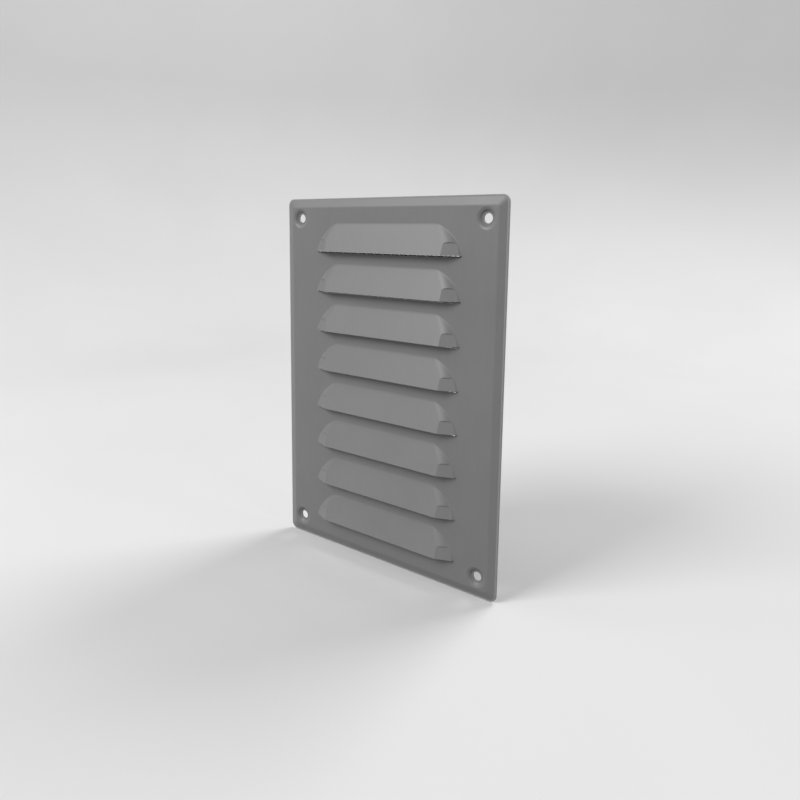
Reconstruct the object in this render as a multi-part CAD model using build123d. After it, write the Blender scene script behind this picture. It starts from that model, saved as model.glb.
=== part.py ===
from build123d import *
import os
from math import atan2, cos, hypot, radians, sin, sqrt, tan

# Millimetres. The plate stands upright: X to the right, Z up, front towards -Y, wall plane at y = 0.
# Heights are counted from the wall plane towards the room, so a height h lies at y = -h.

# Sheet and outline of the plate
plate_width = 150.0
plate_height = 210.0
corner_radius = 4.0
sheet = 0.8
rim_width = 1.0
rim_break = 0.3
bevel_width = 4.0
bevel_rise = 1.5
bevel_corner = 1.5
bevel_bend = 2.5

# Dimpled screw holes
hole_inset = 11.5
hole_radius = 2.5
dimple_radius = 5.0
dimple_floor = 3.4
dimple_bend = 0.7

# Louvres
louvre_count = 8
top_margin = 14.5
bottom_margin = 16.6
side_margin = 25.0
louvre_height = 15.8
louvre_rise = 5.0
lip_gap = 1.0
end_radius = 24.0
end_overlap = 1.0
end_wall_angle = 50.0
roof_bend = 5.0
wall_bend = 1.5
bend_start = 4.0
crease_round = 10.0
end_flat_run = 10.0
end_flat_height = 6.5
end_flat_rim = 0.9
end_flat_tilt = 0.3
end_flat_corner = 2.5
end_flat_draft = 45.0

# Insect screen
screen_margin = 19.0
screen_wall = 0.5
screen_rib = 0.45
rib_width = 0.8
gap_columns = 15
gap_width_share = 0.75
gap_height_share = 0.7

# Sizes that follow
face = sheet + bevel_rise
louvre_length = plate_width - 2 * side_margin
louvre_pitch = (plate_height - top_margin - bottom_margin - louvre_height) / (louvre_count - 1)
first_lip = plate_height / 2 - top_margin - louvre_height
roof_angle = atan2(louvre_rise, louvre_height)
wall_angle = radians(end_wall_angle)
first_angle = radians(bend_start)
room = louvre_rise + 1.0


def at(height, outline):
    """Lay an outline drawn in X and Z at a height in front of the wall."""
    return Plane.XZ.offset(height) * outline


def layer(outline, low, high):
    return extrude(at(low, outline), amount=high - low)


def taper(low, low_outline, high, high_outline):
    return loft([at(low, low_outline), at(high, high_outline)], ruled=True)


def plate_outline(inset, radius):
    return RectangleRounded(plate_width - 2 * inset, plate_height - 2 * inset, radius)


def skin_shift(rise, run):
    """How far a sloping wall's back lies to the side of its front, at equal depth below the flat sheet."""
    slope = atan2(rise, run)
    return (sheet / cos(slope) - sheet) / tan(slope)


def front_face(body):
    return body.faces().sort_by(Axis.Y)[0]


def pan():
    """The sheet with its flat rim and bevelled edge, before louvres and holes."""
    foot = rim_width
    top = rim_width + bevel_width
    foot_radius = max(corner_radius - rim_width, bevel_corner)
    rim = layer(plate_outline(0, corner_radius), 0, sheet)
    rim = chamfer(front_face(rim).edges(), rim_break)
    bevel = taper(sheet, plate_outline(foot, foot_radius), face, plate_outline(top, bevel_corner))
    bevel = fillet(front_face(bevel).edges(), bevel_bend)
    shift = skin_shift(bevel_rise, bevel_width)
    hollow = taper(
        0, plate_outline(foot + shift, foot_radius), bevel_rise, plate_outline(top + shift, bevel_corner)
    )
    return rim + bevel - hollow


def hole_places():
    return GridLocations(plate_width - 2 * hole_inset, plate_height - 2 * hole_inset, 2, 2)


def with_dimples(plate):
    """Press the four dimples down to the wall plane and pierce them."""
    shift = skin_shift(bevel_rise, dimple_radius - dimple_floor)
    for place in hole_places():
        spot = Pos(place.position.X, 0, place.position.Y)
        boss = taper(0, Circle(dimple_floor + shift), face, Circle(dimple_radius + shift))
        dish = taper(sheet, Circle(dimple_floor), face, Circle(dimple_radius))
        hole = layer(Circle(hole_radius), -sheet, face)
        plate = plate + spot * boss - spot * dish - spot * hole
    rims = [
        edge
        for edge in plate.edges().filter_by(GeomType.CIRCLE).group_by(Axis.Y)[0]
        if abs(edge.radius - dimple_radius) < 0.01
    ]
    return chamfer(rims, dimple_bend)


def bend_points(foot, angle, bend):
    """Start, middle and end of the bend where a wall of this angle leaves the face at its foot."""
    points = []
    lift = bend * (cos(first_angle) - cos(angle))
    start = foot - lift / tan(angle) + bend * (sin(angle) - sin(first_angle))
    for turn in (first_angle, (first_angle + angle) / 2, angle):
        run = start - bend * (sin(turn) - sin(first_angle))
        points.append((run, bend * (cos(first_angle) - cos(turn))))
    return points


def rising_outline(foot, angle, bend, skin, inner, low):
    """Section of a wall that rises inwards from its foot; skin moves it inwards by that thickness."""
    drop = skin / cos(angle)
    if skin > 0:
        lowest = (foot - (low + drop) / tan(angle), low)
        highest = (inner, (foot - inner) * tan(angle) - drop)
        return Polyline(lowest, highest, (inner, low), close=True)
    start, middle, end = bend_points(foot, angle, bend)
    highest = (inner, (foot - inner) * tan(angle))
    bent = ThreePointArc(start, middle, end)
    rest = Polyline(end, highest, (inner, low), (start[0], low), start)
    return bent + rest


def soft_creases(body):
    """Round the creases between roof and end walls, by less where the full radius doesn't fit."""
    creases = body.edges().filter_by(GeomType.ELLIPSE)
    for share in (1.0, 0.8, 0.6, 0.4, 0.2):
        try:
            return fillet(creases, crease_round * share)
        except ValueError:
            continue
    return body


def hood_form(skin, sill, low):
    """Body below one louvre's skin: sloping roof, round ends and a flat at each end of the lip."""
    level = Pos(0, -face, 0)
    roof_line = rising_outline(louvre_height, roof_angle, roof_bend, skin, sill, low)
    roof_face = make_face(Plane(origin=(0, 0, 0), x_dir=(0, 0, 1), z_dir=(1, 0, 0)) * roof_line)
    roof = extrude(roof_face, amount=louvre_length, both=True)
    wall_line = rising_outline(end_radius, wall_angle, wall_bend, skin, 0, low)
    wall_face = make_face(Plane(origin=(0, 0, 0), x_dir=(1, 0, 0), z_dir=(0, 0, -1)) * wall_line)
    round_end = revolve(wall_face, Axis.Y)
    sink = end_radius - end_overlap - louvre_height
    centre = louvre_length / 2 - sqrt(end_radius**2 - sink**2)
    upright = (Align.CENTER, Align.MAX, Align.CENTER)
    middle = Pos(0, -low, 0) * Box(2 * centre, room - low, 4 * louvre_height, align=upright)
    body = middle + Pos(centre, 0, -sink) * round_end + Pos(-centre, 0, -sink) * round_end
    body = body & roof
    if skin == 0:
        body = soft_creases(body)
    flat = end_flat(skin)
    body = body - flat - mirror(flat, about=Plane.YZ)
    return level * body


def end_flat(skin):
    """Block that presses the flat into the right-hand end of the lip, leaving a low rim at the outline."""
    climb = louvre_rise - end_flat_rim
    facet = Plane(
        origin=(louvre_length / 2, -end_flat_rim, 0),
        x_dir=(-end_flat_run, -climb, 0),
        z_dir=(climb, -end_flat_run, end_flat_run * end_flat_tilt),
    )
    draft = radians(end_flat_draft)
    spread = skin * (1 - sin(draft)) / cos(draft)
    width = 2 * (hypot(end_flat_run, climb) + spread)
    height = 4 * end_flat_height + 2 * spread
    outline = Pos(0, end_flat_height) * RectangleRounded(width, height, end_flat_corner + spread)
    return facet * Pos(0, 0, -skin) * extrude(outline, amount=2 * louvre_rise, taper=-end_flat_draft)


def louvred_plate():
    plate = with_dimples(pan())
    outside = hood_form(0, 0, -sheet / 2)
    inside = hood_form(sheet, -lip_gap, -sheet - bevel_rise / 2)
    places = [Pos(0, 0, first_lip - louvre_pitch * number) for number in range(louvre_count)]
    plate = plate + [place * outside for place in places]
    return plate - [place * inside for place in places]


def insect_screen():
    """Wall with ribs both ways and gaps behind each louvre, seated on the plate's back face."""
    width = plate_width - 2 * screen_margin
    web = louvre_pitch - louvre_height - lip_gap
    last_lip = first_lip - louvre_pitch * (louvre_count - 1)
    top = first_lip + louvre_height + web
    bottom = last_lip - lip_gap - web
    middle = (top + bottom) / 2
    wall_front = bevel_rise - screen_rib
    wall_back = wall_front - screen_wall
    column = louvre_length / gap_columns
    gap_height = louvre_height * gap_height_share
    wall = Pos(0, 0, middle) * layer(Rectangle(width, top - bottom), wall_back, wall_front)
    upright = layer(Rectangle(rib_width, top - bottom), wall_back - screen_rib, wall_back)
    level_rib = layer(Rectangle(width, rib_width), wall_front, bevel_rise)
    gap = layer(Rectangle(column * gap_width_share, gap_height), wall_back, wall_front)
    ribs = [
        Pos(column * (number - gap_columns / 2), 0, middle) * upright
        for number in range(gap_columns + 1)
    ]
    gaps = []
    for row in range(louvre_count + 1):
        sill = first_lip - lip_gap - louvre_pitch * (row - 1)
        ribs.append(Pos(0, 0, sill - web / 2) * level_rib)
    for row in range(louvre_count):
        sill = first_lip - lip_gap - louvre_pitch * row
        for number in range(gap_columns):
            across = column * (number - (gap_columns - 1) / 2)
            gaps.append(Pos(across, 0, sill + gap_height / 2) * gap)
    return wall + ribs - gaps


def main():
    os.makedirs("parts", exist_ok=True)
    export_step(louvred_plate(), "parts/louvred_plate.step")
    export_step(insect_screen(), "parts/insect_screen.step")


main()
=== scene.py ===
import math

import bpy
import numpy as np
from mathutils import Euler, Matrix, Vector


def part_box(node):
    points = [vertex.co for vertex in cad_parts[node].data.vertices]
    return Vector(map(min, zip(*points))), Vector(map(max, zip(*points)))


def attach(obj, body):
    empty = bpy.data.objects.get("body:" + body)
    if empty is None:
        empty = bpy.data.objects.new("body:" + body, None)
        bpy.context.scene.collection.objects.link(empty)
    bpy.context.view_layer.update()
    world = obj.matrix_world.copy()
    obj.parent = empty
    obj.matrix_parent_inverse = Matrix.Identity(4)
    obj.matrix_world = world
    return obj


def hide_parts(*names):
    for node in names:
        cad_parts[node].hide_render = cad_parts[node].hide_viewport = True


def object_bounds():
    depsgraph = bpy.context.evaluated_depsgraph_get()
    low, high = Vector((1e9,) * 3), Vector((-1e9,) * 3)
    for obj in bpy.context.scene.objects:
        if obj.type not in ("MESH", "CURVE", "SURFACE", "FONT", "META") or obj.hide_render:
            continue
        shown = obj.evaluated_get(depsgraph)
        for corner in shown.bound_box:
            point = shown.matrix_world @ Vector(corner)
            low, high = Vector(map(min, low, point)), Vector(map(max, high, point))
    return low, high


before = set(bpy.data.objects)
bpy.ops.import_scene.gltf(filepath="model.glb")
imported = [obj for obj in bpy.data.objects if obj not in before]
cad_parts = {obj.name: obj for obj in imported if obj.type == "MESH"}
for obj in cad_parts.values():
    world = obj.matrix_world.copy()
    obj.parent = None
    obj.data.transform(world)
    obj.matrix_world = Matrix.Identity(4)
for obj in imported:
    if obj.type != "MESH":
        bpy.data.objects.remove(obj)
cad_low, cad_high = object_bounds()
scene = bpy.context.scene

# Metres, in the frame of the CAD: X right, Z up, front towards -Y, wall plane at y = 0.
MM = 0.001

# The range that most values of a noise texture fall in
NOISE_RANGE = (0.3, 0.7)
NOISE_DETAIL = 2.0

# Paint of the plate. Pairs are the lowest and highest value of something that varies over the surface.
PAINT_TONE = (0.205, 0.217)
PAINT_ROUGHNESS = (0.40, 0.48)
PAINT_IOR = 1.5
FAINT_CHANGE = (0.985, 1.015)
CLOUD_SCALE = 30.0
CLOUD_DETAIL = 3.0
STREAK_SCALE = 60.0
STREAK_STRETCH = (9.0, 9.0, 1.0)
STREAK_STRENGTH = 0.2
STREAK_DEPTH = 0.1 * MM
SPECKLE_SCALE = 2400.0
PEEL_SCALE = 700.0
PEEL_STRENGTH = 0.15
PEEL_DEPTH = 0.06 * MM

# Rim of the plate, where the paint is paler as a painted highlight
CORNER_RADIUS = 4.0 * MM
RIM_WIDTH = 1.0 * MM
RIM_FADE = 0.4 * MM
RIM_HIGHLIGHT_LIFT = 1.4

# Insect screen, woven from round wires: eight pitches to one louvre, with a wire just below each lip
LOUVRE_PITCH = 23.3 * MM
FIRST_LIP = 74.7 * MM
WIRE_PITCH = LOUVRE_PITCH / 8
WIRE_DROP = 0.7 * MM
WIRE_RADIUS = 0.35 * MM
WIRE_SIDES = 6
POINTS_PER_PITCH = 2

# Coating of the wires, with painted shade at the back and painted light on the crowns. The painted light
# starts and is full at these shares of the way from the middle to the front.
SHADED_CORE_TONE = 0.015
LIT_CROWN_TONE = 0.6
PAINTED_LIGHT_START = 0.4
PAINTED_LIGHT_FULL = 0.8
GRAIN_CHANGE = (0.8, 1.2)
GRAIN_SCALE = 1800.0
GRAIN_STRENGTH = 0.2
GRAIN_DEPTH = 0.03 * MM
WIRE_ROUGHNESS = (0.55, 0.65)

# Lamps: azimuth and elevation in degrees, power in watts
SOFTBOXES = {
    "key": (-26.0, 36.0, 27.0),
    "left": (-75.0, 30.0, 4.5),
    "side": (88.0, 20.0, 9.0),
    "back": (165.0, 45.0, 20.0),
}
SOFTBOX_DISTANCE = 2.0
SOFTBOX_SIZE = 1.0

# Sky that lights the scene, and the brighter one that the camera and reflections see
SKY = 0.25
SKY_SEEN = 0.7
WHITE = (1.0, 1.0, 1.0, 1.0)

# Pale stage
STAGE_RADIUS = 1.2
STAGE_SWEEP = 0.5
STAGE_HEIGHT = 1.3
STAGE_GAP = 0.2 * MM
STAGE_SIDES = 96
STAGE_STEPS = 12
STAGE_TONE = (0.74, 0.76)
STAGE_SCALE = 6.0
STAGE_ROUGHNESS = 0.9

# Camera: place in metres, angles in degrees, lens and sensor in millimetres
CAMERA_PLACE = (0.22728, -0.29179, 0.08632)
CAMERA_AZIMUTH = 36.679
CAMERA_ELEVATION = 8.344
CAMERA_ROLL = 0.734
CAMERA_LENS = 30.094
CAMERA_SENSOR = 36.0
CAMERA_SHIFT = -0.0875
CAMERA_CLIP = 0.01


class Nodes:
    """Short calls for building one node tree."""

    def __init__(self, tree):
        self.tree = tree
        tree.nodes.clear()

    def add(self, kind, inputs=None, **settings):
        """New node, with its inputs linked to sockets or set to plain values."""
        node = self.tree.nodes.new(kind)
        for name, value in settings.items():
            setattr(node, name, value)
        for name, value in (inputs or {}).items():
            if isinstance(value, bpy.types.NodeSocket):
                self.tree.links.new(value, node.inputs[name])
            else:
                node.inputs[name].default_value = value
        return node

    def place(self):
        return self.add("ShaderNodeTexCoord").outputs["Object"]

    def noise(self, place, scale, detail=NOISE_DETAIL, stretch=(1, 1, 1)):
        mapped = self.add("ShaderNodeMapping", {"Vector": place, "Scale": stretch})
        inputs = {"Vector": mapped.outputs["Vector"], "Scale": scale, "Detail": detail}
        return self.add("ShaderNodeTexNoise", inputs).outputs["Fac"]

    def remap(self, value, source, target):
        """Carry a value from one range to another, held at the ends."""
        inputs = {"Value": value}
        inputs["From Min"], inputs["From Max"] = source
        inputs["To Min"], inputs["To Max"] = target
        return self.add("ShaderNodeMapRange", inputs).outputs["Result"]

    def spread(self, noise, target):
        return self.remap(noise, NOISE_RANGE, target)

    def math(self, operation, first, second):
        return self.add("ShaderNodeMath", {0: first, 1: second}, operation=operation).outputs["Value"]

    def times(self, first, second):
        return self.math("MULTIPLY", first, second)

    def largest(self, first, second):
        return self.math("MAXIMUM", first, second)

    def vector(self, operation, first, second=(0.0, 0.0, 0.0), output="Vector"):
        inputs = {0: first, 1: second}
        return self.add("ShaderNodeVectorMath", inputs, operation=operation).outputs[output]

    def grey(self, tone):
        inputs = {"Red": tone, "Green": tone, "Blue": tone}
        return self.add("ShaderNodeCombineColor", inputs).outputs["Color"]

    def bump(self, height, strength, depth, **more):
        inputs = {"Height": height, "Strength": strength, "Distance": depth, **more}
        return self.add("ShaderNodeBump", inputs).outputs["Normal"]

    def surface(self, inputs):
        """Principled shader as the material's surface."""
        shader = self.add("ShaderNodeBsdfPrincipled", inputs).outputs["BSDF"]
        self.add("ShaderNodeOutputMaterial", {"Surface": shader})


def material(name):
    made = bpy.data.materials.new(name)
    made.use_nodes = True
    return made, Nodes(made.node_tree)


def smooth_piece(name, verts, faces, coat):
    mesh = bpy.data.meshes.new(name)
    mesh.from_pydata(verts, [], faces)
    mesh.shade_smooth()
    mesh.materials.append(coat)
    piece = bpy.data.objects.new(name, mesh)
    scene.collection.objects.link(piece)
    return piece


def painted_rim_highlight(nodes, place):
    """Factor for the tone: a painted highlight that lifts it on the rim along the rounded outline, one
    inside it.
    """
    # More than the plate's depth, so that y plays no part
    any_depth = cad_high.x
    inner = (cad_high.x - CORNER_RADIUS, any_depth, cad_high.z - CORNER_RADIUS)
    aside = nodes.vector("SUBTRACT", nodes.vector("ABSOLUTE", place), inner)
    reach = nodes.vector("LENGTH", nodes.vector("MAXIMUM", aside), output="Value")
    rim_start = CORNER_RADIUS - RIM_WIDTH
    fade = (rim_start - RIM_FADE / 2, rim_start + RIM_FADE / 2)
    return nodes.remap(reach, fade, (1.0, RIM_HIGHLIGHT_LIFT))


def grey_paint():
    """Satin grey stove paint on pressed sheet, with a faint orange peel, drawing marks and a painted
    highlight on the rim.
    """
    made, nodes = material("satin_grey_paint")
    place = nodes.place()
    clouds = nodes.noise(place, CLOUD_SCALE, CLOUD_DETAIL)
    streaks = nodes.noise(place, STREAK_SCALE, stretch=STREAK_STRETCH)
    speckle = nodes.noise(place, SPECKLE_SCALE)
    peel = nodes.noise(place, PEEL_SCALE)
    tone = nodes.times(nodes.spread(clouds, PAINT_TONE), nodes.spread(streaks, FAINT_CHANGE))
    tone = nodes.times(tone, nodes.spread(speckle, FAINT_CHANGE))
    # Painted highlight: paler paint along the rim of the plate
    tone = nodes.times(tone, painted_rim_highlight(nodes, place))
    peeled = nodes.bump(peel, PEEL_STRENGTH, PEEL_DEPTH)
    nodes.surface(
        {
            "Base Color": nodes.grey(tone),
            "Roughness": nodes.spread(clouds, PAINT_ROUGHNESS),
            "Normal": nodes.bump(streaks, STREAK_STRENGTH, STREAK_DEPTH, Normal=peeled),
            "IOR": PAINT_IOR,
        }
    )
    return made


def shaded_wire_coat(low, high):
    """Matt wire coating on a screen between two corners, near black at the back as painted shade and paler
    on the crowns towards the room as painted light.
    """
    made, nodes = material("shaded_wire")
    place = nodes.place()
    grain = nodes.noise(place, GRAIN_SCALE)
    middle = (low.y + high.y) / 2
    reach = (high.y - low.y) / 2
    depth = nodes.add("ShaderNodeSeparateXYZ", {"Vector": place}).outputs["Y"]
    lit_span = (middle - PAINTED_LIGHT_START * reach, middle - PAINTED_LIGHT_FULL * reach)
    # Painted shade and light: near black at the back of the screen, paler towards the front crowns
    tone = nodes.remap(depth, lit_span, (SHADED_CORE_TONE, LIT_CROWN_TONE))
    tone = nodes.times(tone, nodes.spread(grain, GRAIN_CHANGE))
    nodes.surface(
        {
            "Base Color": nodes.grey(tone),
            "Roughness": nodes.spread(grain, WIRE_ROUGHNESS),
            "Normal": nodes.bump(grain, GRAIN_STRENGTH, GRAIN_DEPTH),
        }
    )
    return made


def stage_coat():
    made, nodes = material("pale_stage")
    tone = nodes.spread(nodes.noise(nodes.place(), STAGE_SCALE), STAGE_TONE)
    nodes.surface({"Base Color": nodes.grey(tone), "Roughness": STAGE_ROUGHNESS})
    return made


def wire(points, side, depth):
    """Vertices and faces of one tube along points; side and depth span its cross section."""
    angles = [2 * math.pi * step / WIRE_SIDES for step in range(WIRE_SIDES)]
    ring = np.array([side * math.cos(a) + depth * math.sin(a) for a in angles]) * WIRE_RADIUS
    verts = (points[:, None, :] + ring[None, :, :]).reshape(-1, 3)
    last = len(verts) - WIRE_SIDES
    faces = []
    for low in range(0, last, WIRE_SIDES):
        high = low + WIRE_SIDES
        for step in range(WIRE_SIDES):
            after = (step + 1) % WIRE_SIDES
            faces.append((low + step, low + after, high + after, high + step))
    faces.append(tuple(reversed(range(WIRE_SIDES))))
    faces.append(tuple(range(last, len(verts))))
    return verts, faces


def upright_places(low, high):
    """Upright wires in x, with the middle of the screen halfway between two of them."""
    middle = (low.x + high.x) / 2
    columns = 2 * int((high.x - middle - WIRE_RADIUS) / WIRE_PITCH - 0.5) + 1
    return middle + (np.arange(columns + 1) - columns / 2) * WIRE_PITCH


def level_places(low, high):
    """Level wires in z, counted both ways from the one below the top lip."""
    start = FIRST_LIP - WIRE_DROP
    below = int((start - low.z - WIRE_RADIUS) / WIRE_PITCH)
    above = int((high.z - WIRE_RADIUS - start) / WIRE_PITCH)
    return start + np.arange(-below, above + 1) * WIRE_PITCH


def stations(start, end, crossings):
    """Points along a wire from end to end of the screen, for the waves over its crossings."""
    return np.linspace(start, end, POINTS_PER_PITCH * (len(crossings) + 1) + 1)


def plain_weave(low, high):
    """Wires that fill a box, each one passing over one crossing wire and under the next."""
    x_axis, y_axis, z_axis = np.eye(3)
    middle = (low.y + high.y) / 2
    swing = (high.y - low.y) / 2 - WIRE_RADIUS
    xs = upright_places(low, high)
    zs = level_places(low, high)
    along_z = stations(low.z, high.z, zs)
    along_x = stations(low.x, high.x, xs)
    wires = []
    for number, x in enumerate(xs):
        depth = middle + swing * np.cos(np.pi * ((along_z - zs[0]) / WIRE_PITCH + number))
        points = np.column_stack([np.full_like(along_z, x), depth, along_z])
        wires.append(wire(points, x_axis, y_axis))
    for number, z in enumerate(zs):
        depth = middle - swing * np.cos(np.pi * ((along_x - xs[0]) / WIRE_PITCH + number))
        points = np.column_stack([along_x, depth, np.full_like(along_x, z)])
        wires.append(wire(points, z_axis, y_axis))
    return wires


def joined(wires):
    """One list of vertices and one of faces for all the wires."""
    verts, faces = [], []
    for wire_verts, wire_faces in wires:
        start = len(verts)
        verts.extend(wire_verts.tolist())
        faces.extend(tuple(start + index for index in face) for face in wire_faces)
    return verts, faces


def woven_screen():
    """Woven wire in the box of the CAD screen, in its place."""
    low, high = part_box("insect_screen")
    verts, faces = joined(plain_weave(low, high))
    piece = smooth_piece("screen_mesh", verts, faces, shaded_wire_coat(low, high))
    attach(piece, "root")
    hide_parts("insect_screen")


def paint_plate():
    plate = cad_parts["louvred_plate"]
    plate.data.materials.clear()
    plate.data.materials.append(grey_paint())


def stage_profile():
    """Distance from the middle and height of each ring, from the flat floor to the top of the wall."""
    floor = cad_low.z - STAGE_GAP
    flat = STAGE_RADIUS - STAGE_SWEEP
    profile = []
    for step in range(STAGE_STEPS + 1):
        turn = math.radians(90 * step / STAGE_STEPS)
        profile.append((flat + STAGE_SWEEP * math.sin(turn), floor + STAGE_SWEEP * (1 - math.cos(turn))))
    profile.append((STAGE_RADIUS, floor + STAGE_HEIGHT))
    return profile


def pale_stage():
    """Round floor that sweeps up into a wall and takes the object's shadow.

    It blocks no lamp and sends the object no diffuse light, but shows in reflections.
    """
    profile = stage_profile()
    verts, faces = [(0, 0, profile[0][1])], []
    for across, height in profile:
        for side in range(STAGE_SIDES):
            turn = 2 * math.pi * side / STAGE_SIDES
            verts.append((across * math.cos(turn), across * math.sin(turn), height))
    for side in range(STAGE_SIDES):
        after = (side + 1) % STAGE_SIDES
        faces.append((0, 1 + side, 1 + after))
        for ring in range(len(profile) - 1):
            low = 1 + ring * STAGE_SIDES
            high = low + STAGE_SIDES
            faces.append((low + side, high + side, high + after, low + after))
    stage = smooth_piece("stage", verts, faces, stage_coat())
    stage.visible_diffuse = False
    stage.visible_shadow = False


def softbox(name, azimuth, elevation, power):
    """Square lamp that faces the origin; the angles are in radians."""
    lamp = bpy.data.lights.new(name, "AREA")
    lamp.size = SOFTBOX_SIZE
    lamp.energy = power
    holder = bpy.data.objects.new(name, lamp)
    scene.collection.objects.link(holder)
    level = math.cos(elevation)
    way = Vector((math.sin(azimuth) * level, -math.cos(azimuth) * level, math.sin(elevation)))
    holder.location = way * SOFTBOX_DISTANCE
    holder.rotation_euler = (-way).to_track_quat("-Z", "Y").to_euler()


def lamps():
    for name, (azimuth, elevation, power) in SOFTBOXES.items():
        softbox(name, math.radians(azimuth), math.radians(elevation), power)


def sky():
    """Even white sky, brighter where the camera, a reflection or a see-through surface looks at it."""
    world = bpy.data.worlds.new("studio")
    scene.world = world
    world.use_nodes = True
    nodes = Nodes(world.node_tree)
    path = nodes.add("ShaderNodeLightPath").outputs
    seen = nodes.largest(path["Is Camera Ray"], path["Is Glossy Ray"])
    seen = nodes.largest(seen, path["Is Transmission Ray"])
    strength = nodes.remap(seen, (0.0, 1.0), (SKY, SKY_SEEN))
    background = nodes.add("ShaderNodeBackground", {"Color": WHITE, "Strength": strength})
    nodes.add("ShaderNodeOutputWorld", {"Surface": background.outputs["Background"]})


def camera():
    """Camera at the photograph's viewing angle."""
    data = bpy.data.cameras.new("camera")
    data.sensor_width = CAMERA_SENSOR
    data.lens = CAMERA_LENS
    data.shift_y = CAMERA_SHIFT
    data.clip_start = CAMERA_CLIP
    made = bpy.data.objects.new("camera", data)
    scene.collection.objects.link(made)
    turn = Euler((math.radians(90 - CAMERA_ELEVATION), 0, math.radians(CAMERA_AZIMUTH)))
    roll = Matrix.Rotation(math.radians(CAMERA_ROLL), 4, "Z")
    made.matrix_world = Matrix.Translation(CAMERA_PLACE) @ turn.to_matrix().to_4x4() @ roll
    scene.camera = made


paint_plate()
woven_screen()
pale_stage()
lamps()
sky()
camera()
scene.view_settings.view_transform = "Standard"
